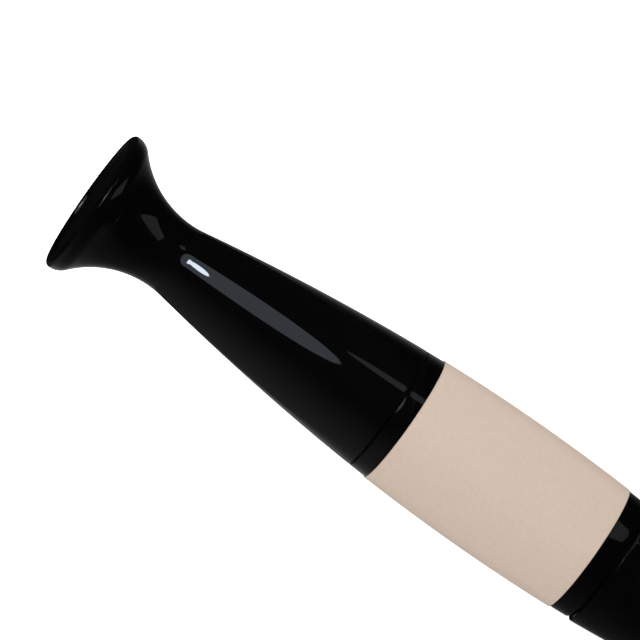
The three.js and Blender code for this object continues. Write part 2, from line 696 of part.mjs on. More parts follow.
function makeCapShell() {
  const flareCentre = waistRadius + flareArc;
  const flareDegrees = THREE.MathUtils.radToDeg(flareAngle);
  const bellArc = flareArc + CAP_WALL;
  const bellFloor = WAIST_HEIGHT + BELL_RISE;
  const bellRadius = dishEdge - DISH_LEDGE;
  const bellFrom = THREE.MathUtils.radToDeg(Math.acos((flareCentre - bellRadius) / bellArc));
  const bellTo = THREE.MathUtils.radToDeg(Math.asin(BELL_RISE / bellArc));
  const lipCentre = flareRadius - LIP_RADIUS;
  const noseCentre = flareRadius - NOSE_RADIUS;
  return revolve([
    [0, cavityTop],
    ...flank(capInnerAt, cavityTop, 0, INNER_STEPS),
    [seamRadius - CAP_MOUTH_BEVEL, 0],
    ...flank(capRadiusAt, CAP_MOUTH_BEVEL, blendHeight, FLANK_STEPS),
    ...flank(capRadiusAt, blendHeight, WAIST_HEIGHT, BLEND_STEPS).slice(1),
    ...arc(flareCentre, WAIST_HEIGHT, flareArc, 180, 180 - flareDegrees, FLARE_STEPS).slice(1),
    ...arc(lipCentre, lipHeight, LIP_RADIUS, -flareDegrees, 0, ROUND_STEPS).slice(1),
    ...arc(noseCentre, lipHeight, NOSE_RADIUS, 0, 90, ROUND_STEPS).slice(1),
    [dishEdge + LIP_INNER_BEVEL, CAP_LENGTH],
    [dishEdge, CAP_LENGTH - LIP_INNER_BEVEL],
    [dishEdge, dishSeat],
    [bellRadius, dishSeat],
    ...arc(flareCentre, WAIST_HEIGHT, bellArc, 180 - bellFrom, 180 - bellTo, INNER_STEPS),
    [0, bellFloor],
  ], OUTER_SIDES);
}

// A shallow parabolic dish of even thickness, its flat rim seated in the lip.
function makeCapEndDish() {
  const edge = dishEdge - FIT_CLEARANCE;
  const bowl = edge - DISH_LEDGE;
  const across = Array.from({ length: INNER_STEPS + 1 }, (_, i) => (bowl * i) / INNER_STEPS);
  const topAt = (radius) => dishRim - DISH_DEPTH * (1 - (radius / bowl) ** 2);
  return revolve([
    ...across.map((radius) => [radius, topAt(radius) - DISH_THICKNESS]),
    [edge, dishRim - DISH_THICKNESS],
    [edge, dishRim],
    ...across.map((radius) => [radius, topAt(radius)]).reverse(),
  ], INNER_SIDES);
}

function makeCapLiner() {
  const seatInner = TIP_SEAL_DIAMETER / 2 + FIT_CLEARANCE;
  const seatOuter = seatInner + SEAT_WALL;
  const seatBottom = linerEnd - SEAT_DEPTH;
  const mouth = AXIAL_CLEARANCE;
  return revolve([
    [0, linerEnd],
    [seatInner, linerEnd],
    [seatInner, seatBottom],
    [seatOuter, seatBottom],
    [seatOuter, linerEnd],
    ...flank(linerInnerAt, linerEnd, linerBoreTop, INNER_STEPS),
    [linerBore, mouth],
    ...flank(linerOuterAt, mouth, linerTop, INNER_STEPS),
    [0, linerTop],
  ], INNER_SIDES);
}

function makeTipSeal() {
  const radius = TIP_SEAL_DIAMETER / 2;
  return revolve([
    [0, tipSealBottom],
    [radius, tipSealBottom],
    [radius, tipSealTop],
    [0, tipSealTop],
  ], SMALL_SIDES);
}

const base = new THREE.Group();
base.add(
  piece('base_shell', makeBaseShell(), GLOSS_BLACK),
  piece('base_core', makeBaseCore(), WHITE_ACETAL),
  piece('click_ring', makeClickRing(), WHITE_ACETAL),
  piece('drive_screw', makeDriveScrew(), WHITE_ACETAL),
  piece('retaining_clip', makeRetainingClip(), SPRING_STEEL),
);

const barrel = new THREE.Group();
barrel.add(
  piece('barrel_shell', makeBarrelShell(), GLOSS_BLACK),
  piece('label', makeLabel(), LABEL_BEIGE),
  piece('reservoir', makeReservoir(), BLACK_PP),
  piece('rear_bulkhead', makeRearBulkhead(), NATURAL_PP),
  piece('ratchet_ring', makeRatchetRing(), WHITE_ACETAL),
  piece('screw_seal', makeScrewSeal(), SOFT_GREY),
  piece('nozzle', makeNozzle(), BLACK_PP),
  piece('nozzle_gasket', makeNozzleGasket(), SOFT_GREY),
  piece('glue_charge', makeGlueCharge(), CLEAR_GLUE),
);

const piston = new THREE.Group();
piston.add(
  piece('piston', makePiston(), NATURAL_PP),
  piece('piston_seal', makePistonSeal(), SOFT_GREY),
);

const cap = new THREE.Group();
cap.position.z = capMouth;
cap.add(
  piece('cap_shell', makeCapShell(), GLOSS_BLACK),
  piece('cap_end_dish', makeCapEndDish(), GLOSS_BLACK),
  piece('cap_liner', makeCapLiner(), NATURAL_PP),
  piece('tip_seal', makeTipSeal(), SOFT_GREY),
);

const gluePen = new THREE.Group();
gluePen.name = 'glue_pen';
gluePen.add(base, barrel, piston, cap);

export default gluePen;
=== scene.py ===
"""Looks of a twist-up glue pen: smooth moulded pieces, their finishes and a plain studio."""

import math

import bpy
import numpy as np
from bpy.props import FloatProperty, FloatVectorProperty, IntProperty, PointerProperty
from mathutils import Matrix, Vector


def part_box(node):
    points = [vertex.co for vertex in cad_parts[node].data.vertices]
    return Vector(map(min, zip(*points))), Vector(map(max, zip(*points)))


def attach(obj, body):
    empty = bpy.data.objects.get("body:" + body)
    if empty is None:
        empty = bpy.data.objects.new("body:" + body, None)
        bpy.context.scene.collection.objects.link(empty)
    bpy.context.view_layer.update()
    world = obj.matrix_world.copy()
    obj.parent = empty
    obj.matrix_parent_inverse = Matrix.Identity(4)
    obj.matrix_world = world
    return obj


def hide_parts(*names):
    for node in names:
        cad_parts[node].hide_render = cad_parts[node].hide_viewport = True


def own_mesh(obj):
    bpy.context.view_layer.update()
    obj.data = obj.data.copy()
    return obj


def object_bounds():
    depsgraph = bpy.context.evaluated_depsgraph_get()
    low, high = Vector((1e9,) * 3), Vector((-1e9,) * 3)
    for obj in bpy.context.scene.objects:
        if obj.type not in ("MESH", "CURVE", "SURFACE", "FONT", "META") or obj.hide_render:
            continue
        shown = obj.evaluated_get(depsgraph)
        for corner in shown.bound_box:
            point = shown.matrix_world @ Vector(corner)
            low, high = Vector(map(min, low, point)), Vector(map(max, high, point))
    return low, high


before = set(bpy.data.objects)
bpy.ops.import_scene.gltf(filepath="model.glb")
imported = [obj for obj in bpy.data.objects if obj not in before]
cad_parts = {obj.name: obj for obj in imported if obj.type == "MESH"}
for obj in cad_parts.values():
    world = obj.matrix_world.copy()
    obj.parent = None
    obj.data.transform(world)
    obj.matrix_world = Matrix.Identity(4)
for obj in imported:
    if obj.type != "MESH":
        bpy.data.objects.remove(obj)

cad_low, cad_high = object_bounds()

bl_info = {
    "name": "Twist-up glue pen",
    "version": (1, 0, 0),
    "blender": (4, 5, 0),
    "location": "3D View > Sidebar > Glue pen",
    "description": "Dresses the packed glue pen in moulded surfaces, finishes and a plain studio",
    "category": "Object",
}

MM = 0.001
CREASE_ANGLE = math.radians(35)

# Clearance of pieces that are fitted together, and of pieces that run on each other
FIT = 0.15 * MM
RUN = 0.3 * MM

# Roundings of moulded edges, from the sharpest to the softest
HAIR = 0.05 * MM
FINE = 0.1 * MM
THIN = 0.12 * MM
EDGE = 0.15 * MM
SOFT = 0.2 * MM
FULL = 0.3 * MM

# A point this near to a surface counts as on it, and points this near to each other as one
TOUCH = 0.01 * MM
SAME_POINT = 0.0001 * MM


def ends(node_name):
    """Lowest and highest height of a CAD node."""
    low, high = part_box(node_name)
    return low.z, high.z


CAP_MOUTH, CAP_TOP = ends("cap_shell")
BARREL_BOTTOM, BARREL_TOP = ends("barrel_shell")
LABEL_BOTTOM, LABEL_TOP = ends("label")
RESERVOIR_BOTTOM, NECK_TOP = ends("reservoir")
NOZZLE_BOTTOM, NOZZLE_TIP = ends("nozzle")
SCREW_BOTTOM, SCREW_TOP = ends("drive_screw")
CLIP_BOTTOM, CLIP_TOP = ends("retaining_clip")
LINER_TOP = ends("cap_liner")[1]
SEAL_SEAT = ends("tip_seal")[1]
BASE_TOP = ends("base_shell")[1]
HUB_TOP = ends("base_core")[1]
BULKHEAD_TOP = ends("rear_bulkhead")[1]
PISTON_TOP = ends("piston")[1]


def linear(hex_colour):
    """Linear red, green, blue and alpha of an sRGB hex colour."""
    srgb = np.array([int(hex_colour[i:i + 2], 16) for i in (1, 3, 5)]) / 255
    bent = np.where(srgb <= 0.04045, srgb / 12.92, ((srgb + 0.055) / 1.055) ** 2.4)
    return (*map(float, bent), 1.0)


def length(name, description, millimetres):
    """A length property, given in millimetres and kept in metres."""
    return FloatProperty(
        name=name, description=description, default=millimetres * MM, unit="LENGTH", precision=5)


def angle(name, description, degrees):
    """An angle property, given in degrees and kept in radians."""
    return FloatProperty(
        name=name, description=description, default=math.radians(degrees), subtype="ANGLE")


def count(name, description, number):
    """A property that counts things, of which there is at least one."""
    return IntProperty(name=name, description=description, default=number, min=1)


def colour(name, description, hex_colour):
    """A colour property, given as an sRGB hex value and kept linear."""
    return FloatVectorProperty(
        name=name, description=description, default=linear(hex_colour), subtype="COLOR", size=4,
        min=0, max=1)


class GluePenCapSizes(bpy.types.PropertyGroup):
    """Sizes of the cap, its dished end and its liner."""

    seam_diameter: length("Seam diameter", "Cap and barrel where they meet", 22.3)
    waist_diameter: length("Waist diameter", "The cap's narrowest place", 12.1)
    waist_height: length("Waist height", "From the cap's mouth to its waist", 43.2)
    waist_blend: length("Waist blend", "Radius that joins the taper to the waist", 14)
    taper_angle: angle("Taper angle", "Slope of the taper where it meets the waist's blend", 9.6)
    flare_diameter: length("Flare diameter", "The cap's widest place, at its lip", 25.6)
    lip_radius: length("Lip radius", "Rounding under the lip", 3.3)
    nose_radius: length("Nose radius", "Rounding over the lip", 0.95)
    lip_wall: length("Lip wall", "Width of the lip round the dished end", 1.9)
    wall: length("Wall", "Thickness of the cap's wall", 1.3)
    bell_rise: length("Bell rise", "Solid stretch above the waist", 4)
    dish_depth: length("Dish depth", "How far the cap's end is sunk at its middle", 2.2)
    dish_thickness: length("Dish thickness", "Thickness of the dished end", 1.2)
    dish_recess: length("Dish recess", "From the lip down to the dish's rim", 0.5)
    dish_ledge: length("Dish ledge", "Width of the seat under the dish's rim", 0.9)
    dish_draft: angle("Dish draft", "Lean of the lip's inner wall above the dish", 9.6)
    liner_wall: length("Liner wall", "Thickness of the liner's wall", 0.8)
    liner_bore_height: length("Liner bore height", "Height of the liner's straight bore", 7.1)
    seat_depth: length("Seat depth", "Depth of the tube that holds the tip seal", 3.4)
    seat_bore: length("Seat bore", "Radius inside that tube", 2.0)
    seat_wall: length("Seat wall", "Thickness of that tube", 0.9)


class GluePenBarrelSizes(bpy.types.PropertyGroup):
    """Sizes of the barrel and its label."""

    belly_diameter: length("Belly diameter", "The barrel's widest place, half way up", 23.7)
    end_wall: length("End wall", "Thickness of the barrel at its ends", 0.95)
    rear_round: length("Rear round", "Rounding of the barrel's lower edge", 0.5)
    front_round: length("Front round", "Rounding of the barrel's upper edge", 0.14)
    ledge: length("Ledge", "Thickness of the ledge at the barrel's lower end", 1)
    ledge_radius: length("Ledge radius", "Radius inside that ledge", 9.55)
    label_gap: length("Label gap", "Glue line between barrel and label", 0.05)
    label_thickness: length("Label thickness", "Thickness of the label film", 0.12)
    label_seam: length("Label seam", "Width of the butt seam at the back", 1.2)


class GluePenBaseSizes(bpy.types.PropertyGroup):
    """Sizes of the twist base's shell."""

    rim_diameter: length("Rim diameter", "The base at its rim, under the barrel", 22.9)
    rim_slope: FloatProperty(
        name="Rim slope", description="How fast the base narrows at its rim", default=0.079,
        subtype="FACTOR")
    rim_round: length("Rim round", "Rounding of the base's rim", 0.35)
    foot_diameter: length("Foot diameter", "Where the base's side line meets its foot", 18.4)
    foot_round: length("Foot round", "Rounding of the foot's edge", 2)
    wall: length("Wall", "Thickness of the base's wall", 1.1)
    floor: length("Floor", "Thickness of the base's floor", 1.6)
    ribs: count("Drive ribs", "Ribs that turn the hub", 4)
    rib_width: length("Rib width", "Width of a drive rib", 1.4)
    rib_height: length("Rib height", "How far a drive rib stands out", 1.2)
    rib_top: length("Rib top", "Height of the drive ribs' top", 3.55)


class GluePenWorksSizes(bpy.types.PropertyGroup):
    """Sizes of the reservoir, nozzle, screw and glue."""

    bore_radius: length("Bore radius", "Inside of the reservoir", 8.7)
    rear_spigot_radius: length("Rear spigot radius", "Reservoir inside the base", 9.4)
    body_radius: length("Body radius", "Reservoir inside the barrel", 10.05)
    front_step: length("Front step", "From the body's shoulder to the barrel's top", 0.5)
    front_spigot_length: length("Front spigot length", "Spigot that the cap pulls on to", 7)
    front_spigot_wall: length("Front spigot wall", "Thickness of that spigot", 0.85)
    snap_bead: length("Snap bead", "Height of the bead that holds the cap", 0.1)
    neck_radius: length("Neck radius", "Outside of the neck", 4.4)
    neck_bore: length("Neck bore", "Radius inside the neck", 3.2)
    neck_length: length("Neck length", "Length of the neck", 6.8)
    guide_ribs: count("Guide ribs", "Ribs that keep the piston from turning", 3)
    guide_rib_width: length("Guide rib width", "Width of a guide rib", 1.4)
    guide_rib_height: length("Guide rib height", "How far a guide rib stands in", 0.5)
    nozzle_radius: length("Nozzle radius", "Outside of the nozzle's skirt", 6.1)
    nozzle_cone_radius: length("Nozzle cone radius", "Foot of the nozzle's cone", 4.6)
    nozzle_tip_radius: length("Nozzle tip radius", "Outside of the tip", 1.15)
    nozzle_hole_radius: length("Nozzle hole radius", "Hole in the tip", 0.55)
    nozzle_wall: length("Nozzle wall", "Thickness of the cone at its foot", 1.6)
    flutes: count("Flutes", "Grip flutes round the nozzle's skirt", 12)
    flute_depth: length("Flute depth", "Depth of a grip flute", 0.45)
    screw_radius: length("Screw radius", "Crest of the drive screw's thread", 2.5)
    screw_lead: length("Screw lead", "Piston travel in one turn of the base", 4)
    screw_starts: count("Screw starts", "Threads side by side on the screw", 2)
    thread_depth: length("Thread depth", "Depth of the screw's thread", 0.45)
    glue_radius: length("Glue radius", "Column of glue in the reservoir", 7.1)


class GluePenFinish(bpy.types.PropertyGroup):
    """Colours of the finishes."""

    gloss_black: colour("Gloss black", "Moulded shells", "#030304")
    gloss_black_bloom: colour("Gloss black bloom", "Faint wiped film on the shells", "#070708")
    label_beige: colour("Label beige", "Printed film", "#D7C3B2")
    label_fleck: colour("Label fleck", "Darker grain in the printed film", "#CDB8A6")
    satin_black: colour("Satin black", "Reservoir and nozzle", "#151517")
    natural: colour("Natural polypropylene", "Liner, bulkhead and piston", "#D9D9D2")
    acetal: colour("White acetal", "Screw, hub and ratchet", "#E9E7E0")
    rubber: colour("Seal grey", "Seals and gaskets", "#8D8F92")
    steel: colour("Spring steel", "Retaining clip", "#B9BCC0")
    glue: colour("Glue", "Thick pale glue", "#E6DFCF")


class GluePenStudio(bpy.types.PropertyGroup):
    """Camera of the studio."""

    distance: FloatProperty(
        name="Distance", description="From the camera to the pen", default=2.5, unit="LENGTH")
    frame_width: length("Frame width", "What the square frame takes in at the pen", 103.78)
    elevation: angle("Elevation", "Camera above the pen", 6.1)
    roll: angle("Roll", "How far the pen leans to the left in the frame", 55.04)
    aim_height: length("Aim height", "Height of the frame's middle on the pen", 81.43)
    aim_side: length("Aim side", "Frame's middle, to the pen's right", 5.33)


GROUPS = {
    "glue_pen_cap": GluePenCapSizes,
    "glue_pen_barrel": GluePenBarrelSizes,
    "glue_pen_base": GluePenBaseSizes,
    "glue_pen_works": GluePenWorksSizes,
    "glue_pen_finish": GluePenFinish,
    "glue_pen_studio": GluePenStudio,
}


def line(radii, heights, fillet=0.0):
    """Rows of an outline: radius, height and the radius that rounds the corner there."""
    return np.column_stack([np.atleast_1d(a) for a in np.broadcast_arrays(radii, heights, fillet)])


def soften(rows, steps=5):
    """Rounds an outline's corners. Each corner becomes the arc that touches both of its sides, as the
    conic ((1-k)^2 A + 2wk(1-k) C + k^2 B) / ((1-k)^2 + 2wk(1-k) + k^2) of its corner C, its touching
    points A and B and w, the cosine of half its turn. An arc is cut short where a side has no room."""
    most = 0.45
    corners, fillets = rows[:, :2], rows[:, 2]
    before = np.roll(corners, 1, 0) - corners
    after = np.roll(corners, -1, 0) - corners
    before_length = np.linalg.norm(before, axis=1)
    after_length = np.linalg.norm(after, axis=1)
    before /= before_length[:, None]
    after /= after_length[:, None]
    half_turn = (np.pi - np.arccos(np.clip((before * after).sum(1), -1, 1))) / 2
    reach = np.minimum(fillets * np.tan(half_turn), most * np.minimum(before_length, after_length))
    k = np.linspace(0, 1, steps + 1)[None, :, None]
    weight = np.cos(half_turn)[:, None, None]
    first = (corners + before * reach[:, None])[:, None]
    last = (corners + after * reach[:, None])[:, None]
    above = (1 - k) ** 2 * first + 2 * weight * k * (1 - k) * corners[:, None] + k ** 2 * last
    below = (1 - k) ** 2 + 2 * weight * k * (1 - k) + k ** 2
    arcs = (above / below).reshape(-1, 2)
    step = np.linalg.norm(arcs - np.roll(arcs, 1, 0), axis=1)
    return arcs[step > SAME_POINT]


def add_object(name, data):
    """An object of the scene with this data."""
    made = bpy.data.objects.new(name, data)
    bpy.context.scene.collection.objects.link(made)
    return made


def mesh_object(name, points, faces):
    """A smooth-shaded mesh object with its hard edges kept sharp."""
    mesh = bpy.data.meshes.new(name)
    mesh.from_pydata(points.tolist(), [], faces)
    mesh.update()
    mesh.shade_smooth()
    mesh.set_sharp_from_angle(angle=CREASE_ANGLE)
    return add_object(name, mesh)


def revolve(name, rows, sides, ripple=None, start=0.0, sweep=2 * np.pi):
    """Carries an outline round Z. Its step i at turn v lies at (r cos v, r sin v, z) with
    r = r_i + ripple(v, r_i, z_i). The outline runs anticlockwise, radius to the right. It closes on
    itself, or starts and ends on the axis, where each end closes in one point. A sweep of less than a
    whole turn from its start has a flat at each end."""
    outline = soften(rows)
    on_axis = outline[0, 0] < SAME_POINT
    whole = sweep == 2 * np.pi
    rings = outline[1:-1] if on_axis else outline
    turn = np.linspace(start, start + sweep, sides + 1)[None, :sides if whole else None]
    radius, height = rings[:, :1], rings[:, 1:]
    wide = radius + (ripple(turn, radius, height) if ripple else 0 * turn)
    grid = np.stack([wide * np.cos(turn), wide * np.sin(turn), height + 0 * turn], -1)
    points = grid.reshape(-1, 3)
    index = np.arange(len(points)).reshape(len(rings), -1)
    upper = np.roll(index, -1, 0)
    quads = np.stack([index, np.roll(index, -1, 1), np.roll(upper, -1, 1), upper], -1)
    if on_axis:
        quads = quads[:-1]
    if not whole:
        quads = quads[:, :-1]
    faces = quads.reshape(-1, 4).tolist()
    if on_axis:
        low = np.full(sides, len(points))
        points = np.vstack([points, [(0, 0, outline[0, 1]), (0, 0, outline[-1, 1])]])
        faces += np.column_stack([low, np.roll(index[0], -1), index[0]]).tolist()
        faces += np.column_stack([low + 1, index[-1], np.roll(index[-1], -1)]).tolist()
    if not whole:
        faces += [index[:, 0].tolist(), index[::-1, -1].tolist()]
    return mesh_object(name, points, faces)


def rib_share(turn, ribs, first, half_width):
    """1 within a half width, as an angle, of any of the evenly spaced ribs and 0 elsewhere."""
    pitch = 2 * np.pi / ribs
    away = np.abs((turn - first + pitch / 2) % pitch - pitch / 2)
    return (away < half_width).astype(float)


def cap_radius(size, height):
    """Radius of the cap's taper at heights above its mouth: r = r0 - a h - b h^2 up to the blend, whose
    two slopes set a and b, and from there the blend's arc, waist + R - sqrt(R^2 - d^2) at d below the
    waist."""
    mouth, waist, blend = size.seam_diameter / 2, size.waist_diameter / 2, size.waist_blend
    slope = math.tan(size.taper_angle)
    blend_height = size.waist_height - blend * math.sin(size.taper_angle)
    blend_radius = waist + blend * (1 - math.cos(size.taper_angle))
    mouth_slope = 2 * (mouth - blend_radius) / blend_height - slope
    bend = (slope - mouth_slope) / (2 * blend_height)
    below = np.clip(size.waist_height - height, 0, blend)
    arc = waist + blend - np.sqrt(blend ** 2 - below ** 2)
    return np.where(height < blend_height, mouth - mouth_slope * height - bend * height ** 2, arc)


def node(tree, kind, inputs=(), **settings):
    """Adds a shader node with its settings. Its inputs come in order or by name. A socket is linked, a node
    is linked by its first output, and a value is set."""
    made = tree.nodes.new("ShaderNode" + kind)
    for key, value in settings.items():
        setattr(made, key, value)
    for key, value in inputs.items() if isinstance(inputs, dict) else enumerate(inputs):
        if isinstance(value, bpy.types.Node):
            value = value.outputs[0]
        if isinstance(value, bpy.types.NodeSocket):
            tree.links.new(value, made.inputs[key])
        else:
            made.inputs[key].default_value = value
    return made


def blank_material(name):
    """An empty node material and its tree."""
    material = bpy.data.materials.new(name)
    material.use_nodes = True
    material.node_tree.nodes.clear()
    return material, material.node_tree


def moulded(name, main, other, patch_mm, grain_mm, gloss, bump_mm, **shader):
    """A moulded surface: two close colours in soft patches, a roughness that drifts between two values
    with the same patches, and a fine grain that stands out by bump_mm."""
    if name in bpy.data.materials:
        return bpy.data.materials[name]
    patch_span = (0.35, 0.65)
    material, tree = blank_material(name)
    place = node(tree, "TexCoord").outputs["Object"]
    patch = node(tree, "TexNoise", {"Vector": place, "Scale": 1 / (patch_mm * MM), "Detail": 3.0})
    grain = node(tree, "TexNoise", {"Vector": place, "Scale": 1 / (grain_mm * MM), "Detail": 2.0})
    tint = node(tree, "Mix", {0: patch, 6: main, 7: other}, data_type="RGBA")
    rough = node(tree, "MapRange", [patch, *patch_span, *gloss])
    bump = node(tree, "Bump", {"Height": grain, "Distance": bump_mm * MM, "Strength": 1.0})
    surface = node(tree, "BsdfPrincipled", {
        "Base Color": tint.outputs[2], "Roughness": rough, "Normal": bump, **shader})
    node(tree, "OutputMaterial", [surface])
    return material


def gloss_abs(finish):
    # Polished moulded ABS: near black all through, a hard clear gloss and a very faint wave of the mould
    return moulded(
        "black_abs_polished", finish.gloss_black, finish.gloss_black_bloom, patch_mm=9, grain_mm=6,
        gloss=(0.012, 0.03), bump_mm=0.001, IOR=1.5)


def satin_pp(finish):
    # Moulded black polypropylene: a soft satin sheen and a fine spark-eroded grain
    return moulded(
        "black_polypropylene_satin", finish.satin_black, finish.gloss_black_bloom, patch_mm=5,
        grain_mm=0.25, gloss=(0.32, 0.46), bump_mm=0.006, IOR=1.49)


def natural_pp(finish):
    # Unpigmented polypropylene: milky, a little see-through, satin
    return moulded(
        "natural_polypropylene", finish.natural, finish.acetal, patch_mm=4, grain_mm=0.3,
        gloss=(0.34, 0.48), bump_mm=0.005, IOR=1.49,
        **{"Subsurface Weight": 0.2, "Subsurface Scale": 0.002})


def white_acetal(finish):
    # Moulded white acetal: dense, smooth and slightly waxy
    return moulded(
        "white_acetal", finish.acetal, finish.natural, patch_mm=3, grain_mm=0.4, gloss=(0.25, 0.36),
        bump_mm=0.003, IOR=1.48)


def seal_rubber(finish):
    # Moulded nitrile rubber: dull grey with a dusty bloom
    return moulded(
        "grey_nitrile_rubber", finish.rubber, finish.steel, patch_mm=2, grain_mm=0.2, gloss=(0.62, 0.8),
        bump_mm=0.008, IOR=1.52)


def spring_steel(finish):
    # Stamped and tumbled spring steel: bright, with a fine tumbled grain
    return moulded(
        "stamped_spring_steel", finish.steel, finish.rubber, patch_mm=1.5, grain_mm=0.15,
        gloss=(0.22, 0.38), bump_mm=0.003, Metallic=1.0)


def thick_glue(finish):
    # Thick clear-setting glue: pale, wet and partly clear
    return moulded(
        "thick_glue", finish.glue, finish.natural, patch_mm=6, grain_mm=2.5, gloss=(0.04, 0.1),
        bump_mm=0.02, IOR=1.47, **{"Transmission Weight": 0.35})


def label_film(finish):
    """Printed label film: the beige ink has a fine mottle, the film a satin sheen and a faint stretch
    grain round the pen, and the cut edges, top and bottom, are a shade darker."""
    mottle_size, grain_size, grain_height, cut_edge = 0.7 * MM, 1.2 * MM, 0.004 * MM, 0.35 * MM
    mottle_span, fleck_share = (0.45, 0.8), (0.0, 0.55)
    grain_span, gloss = (0.3, 0.7), (0.42, 0.58)
    edge_share = (0.0, 0.8)
    stretch = (1, 1, 6)
    half = (LABEL_TOP - LABEL_BOTTOM) / 2
    material, tree = blank_material("printed_label_film")
    place = node(tree, "TexCoord").outputs["Object"]
    mottle = node(tree, "TexNoise", {"Vector": place, "Scale": 1 / mottle_size, "Detail": 4.0})
    fleck = node(tree, "MapRange", [mottle, *mottle_span, *fleck_share])
    height = node(tree, "SeparateXYZ", [place]).outputs[2]
    middle = node(tree, "Math", [height, LABEL_BOTTOM + half], operation="SUBTRACT")
    away = node(tree, "Math", [middle], operation="ABSOLUTE")
    edge = node(tree, "MapRange", [away, half - cut_edge, half, *edge_share])
    share = node(tree, "Math", [fleck, edge], operation="MAXIMUM")
    tint = node(tree, "Mix", {0: share, 6: finish.label_beige, 7: finish.label_fleck}, data_type="RGBA")
    stretched = node(tree, "Mapping", {"Vector": place, "Scale": stretch})
    grain = node(tree, "TexNoise", {"Vector": stretched, "Scale": 1 / grain_size, "Detail": 3.0})
    rough = node(tree, "MapRange", [grain, *grain_span, *gloss])
    bump = node(tree, "Bump", {"Height": grain, "Distance": grain_height, "Strength": 1.0})
    surface = node(tree, "BsdfPrincipled", {
        "Base Color": tint.outputs[2], "Roughness": rough, "Normal": bump, "IOR": 1.46,
        "Specular IOR Level": 0.3})
    node(tree, "OutputMaterial", [surface])
    return material


def dress(context, piece, make, body, slot, *replaced):
    """Gives a piece its finish and its body, and hides the CAD nodes that it stands for. Its slot is not
    used.
    """
    piece.data.materials.append(make(context.scene.glue_pen_finish))
    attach(piece, body)
    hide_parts(*replaced)
    return piece


class GLUEPEN_OT_cap(bpy.types.Operator):
    """Makes the cap: a tapering tube with a waist, a flare and a rounded lip"""

    bl_idname = "gluepen.cap"
    bl_label = "Cap"

    def execute(self, context):
        size = context.scene.glue_pen_cap
        waist, flare = size.waist_diameter / 2, size.flare_diameter / 2
        lip, nose = size.lip_radius, size.nose_radius
        tall = CAP_TOP - CAP_MOUTH
        lip_height = tall - nose
        flare_angle = 2 * math.atan((flare - waist) / (lip_height - size.waist_height))
        flare_arc = (lip_height - size.waist_height) / math.sin(flare_angle) - lip
        flare_centre = waist + flare_arc
        dish_edge = flare - size.lip_wall
        dish_lean = size.dish_recess * math.tan(size.dish_draft)
        dish_seat = tall - size.dish_recess - size.dish_thickness - FIT
        bell_radius = dish_edge - size.dish_ledge
        bell_arc = flare_arc + size.wall
        cavity_top = LINER_TOP - CAP_MOUTH + FIT
        inner = np.linspace(cavity_top, 0, 24)
        outer = np.linspace(0, size.waist_height, 90)
        up = np.linspace(0, flare_angle, 40)[1:]
        under = np.linspace(flare_angle, 0, 20)[1:]
        over = np.linspace(0, np.pi / 2, 14)[1:]
        bell = np.linspace(math.acos((flare_centre - bell_radius) / bell_arc),
                           math.asin(size.bell_rise / bell_arc), 16)
        inner_round = np.where(np.isin(inner, [0, cavity_top]), SOFT, 0)
        rows = np.vstack([
            line(0, cavity_top),
            line(cap_radius(size, inner) - size.wall, inner, inner_round),
            line(cap_radius(size, outer), outer, np.where(outer == 0, THIN, 0)),
            line(waist + flare_arc * (1 - np.cos(up)), size.waist_height + flare_arc * np.sin(up)),
            line(flare - lip * (1 - np.cos(under)), lip_height - lip * np.sin(under)),
            line(flare - nose * (1 - np.cos(over)), lip_height + nose * np.sin(over)),
            line(dish_edge + dish_lean, tall, EDGE),
            line(dish_edge, tall - size.dish_recess),
            line(dish_edge, dish_seat, HAIR),
            line(bell_radius, dish_seat, FINE),
            line(flare_centre - bell_arc * np.cos(bell), size.waist_height + bell_arc * np.sin(bell)),
            line(0, size.waist_height + size.bell_rise),
        ])
        rows[:, 1] += CAP_MOUTH
        dress(context, revolve("cap_skin", rows, sides=192), gloss_abs,
              "cap", "gloss_black_plastic", "cap_shell")
        return {"FINISHED"}


class GLUEPEN_OT_cap_end(bpy.types.Operator):
    """Makes the cap's dished end: a paraboloid z = z0 - depth (1 - (r / bowl)^2) with a flat rim"""

    bl_idname = "gluepen.cap_end"
    bl_label = "Cap's dished end"

    def execute(self, context):
        size = context.scene.glue_pen_cap
        under_round, over_round, rim_round = 0.4 * MM, 0.6 * MM, 0.25 * MM
        edge = size.flare_diameter / 2 - size.lip_wall - FIT
        bowl = edge - size.dish_ledge
        rim = CAP_TOP - size.dish_recess
        across = np.linspace(0, bowl, 28)
        dished = rim - size.dish_depth * (1 - (across / bowl) ** 2)
        at_rim = across == bowl
        rows = np.vstack([
            line(across, dished - size.dish_thickness, np.where(at_rim, under_round, 0)),
            line(edge, rim - size.dish_thickness, FINE),
            line(edge, rim, rim_round),
            line(across, dished, np.where(at_rim, over_round, 0))[::-1],
        ])
        dress(context, revolve("cap_end_bowl", rows, sides=160), gloss_abs,
              "cap", "gloss_black_plastic", "cap_end_dish")
        return {"FINISHED"}


